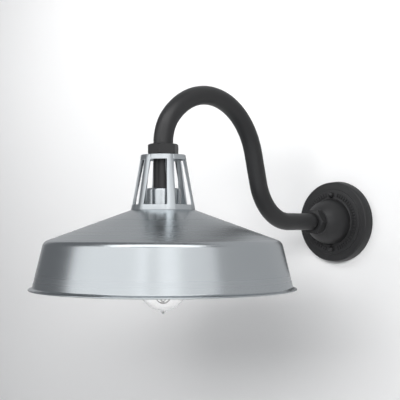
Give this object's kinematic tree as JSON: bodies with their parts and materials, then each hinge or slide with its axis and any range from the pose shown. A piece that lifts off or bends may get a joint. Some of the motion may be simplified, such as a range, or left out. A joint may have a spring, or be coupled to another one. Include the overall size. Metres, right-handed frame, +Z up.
{
  "type": "outdoor wall lantern",
  "caption": "Gooseneck wall lantern: round cast plate, bent pipe arm, vented spun metal shade with a flared rim and a screw-in squirrel-cage bulb.",
  "frame": {"origin": "centre of the round plate, on the wall plane at the back of its gasket", "axes": "+Y points into the wall, +Z is up, the arm reaches out along -Y, and +X is to the right when looking along +Y"},
  "size_m": [0.3568, 0.6053, 0.3152],
  "materials": {
    "black_casting": "satin black powder coat over sand-cast iron, faint cast grain",
    "black_pipe": "satin black powder-coated steel pipe",
    "black_hardware": "satin black powder-coated steel",
    "spun_aluminium": "spun aluminium, satin silver",
    "cast_aluminium": "die-cast aluminium, fine satin",
    "gasket_rubber": "matt foam rubber",
    "zinc_steel": "zinc-plated steel",
    "copper_lead": null,
    "connector_plastic": "moulded plastic",
    "live_insulation": "black lead insulation",
    "neutral_insulation": "white lead insulation",
    "porcelain": "white glazed porcelain",
    "socket_brass": "rolled brass sheet",
    "bulb_glass": "clear blown glass",
    "cap_metal": "rolled thin metal cap",
    "insulator_glass": "black glass insulator",
    "solder": "solder tip",
    "mount_glass": "clear glass mount",
    "filament_wire": "drawn tungsten wire"
  },
  "bodies": {
    "fixture": {"wall_canopy": "black_casting", "wall_gasket": "gasket_rubber", "mounting_strap": "zinc_steel", "canopy_studs": "zinc_steel", "canopy_cap_nuts": "black_hardware", "ground_screw": "zinc_steel", "ground_lead": "copper_lead", "wire_connectors": "connector_plastic", "arm_pipe": "black_pipe", "wall_lock_nut": "black_hardware", "neck_lock_nut": "black_hardware", "live_wire": "live_insulation", "neutral_wire": "neutral_insulation", "vent_cage": "cast_aluminium", "cage_rivets": "spun_aluminium", "shade": "spun_aluminium", "stem_nipple": "black_pipe", "reducer_bushing": "zinc_steel", "socket_cup": "cast_aluminium", "cup_lock_nut": "zinc_steel", "porcelain_socket": "porcelain", "screw_shell": "socket_brass", "centre_contact": "socket_brass", "terminal_screws": "socket_brass", "socket_mount_screws": "zinc_steel"},
    "bulb": {"bulb_glass": "bulb_glass", "bulb_screw_cap": "cap_metal", "bulb_insulator": "insulator_glass", "bulb_tip_contact": "solder", "glass_stem": "mount_glass", "filament": "filament_wire", "filament_supports": "filament_wire"}
  },
  "joints": [
    {"name": "bulb_unscrew", "type": "slide", "parent": "fixture", "child": "bulb", "axis": [0, 0, -1], "range_m": [0, 0.13]}
  ]
}
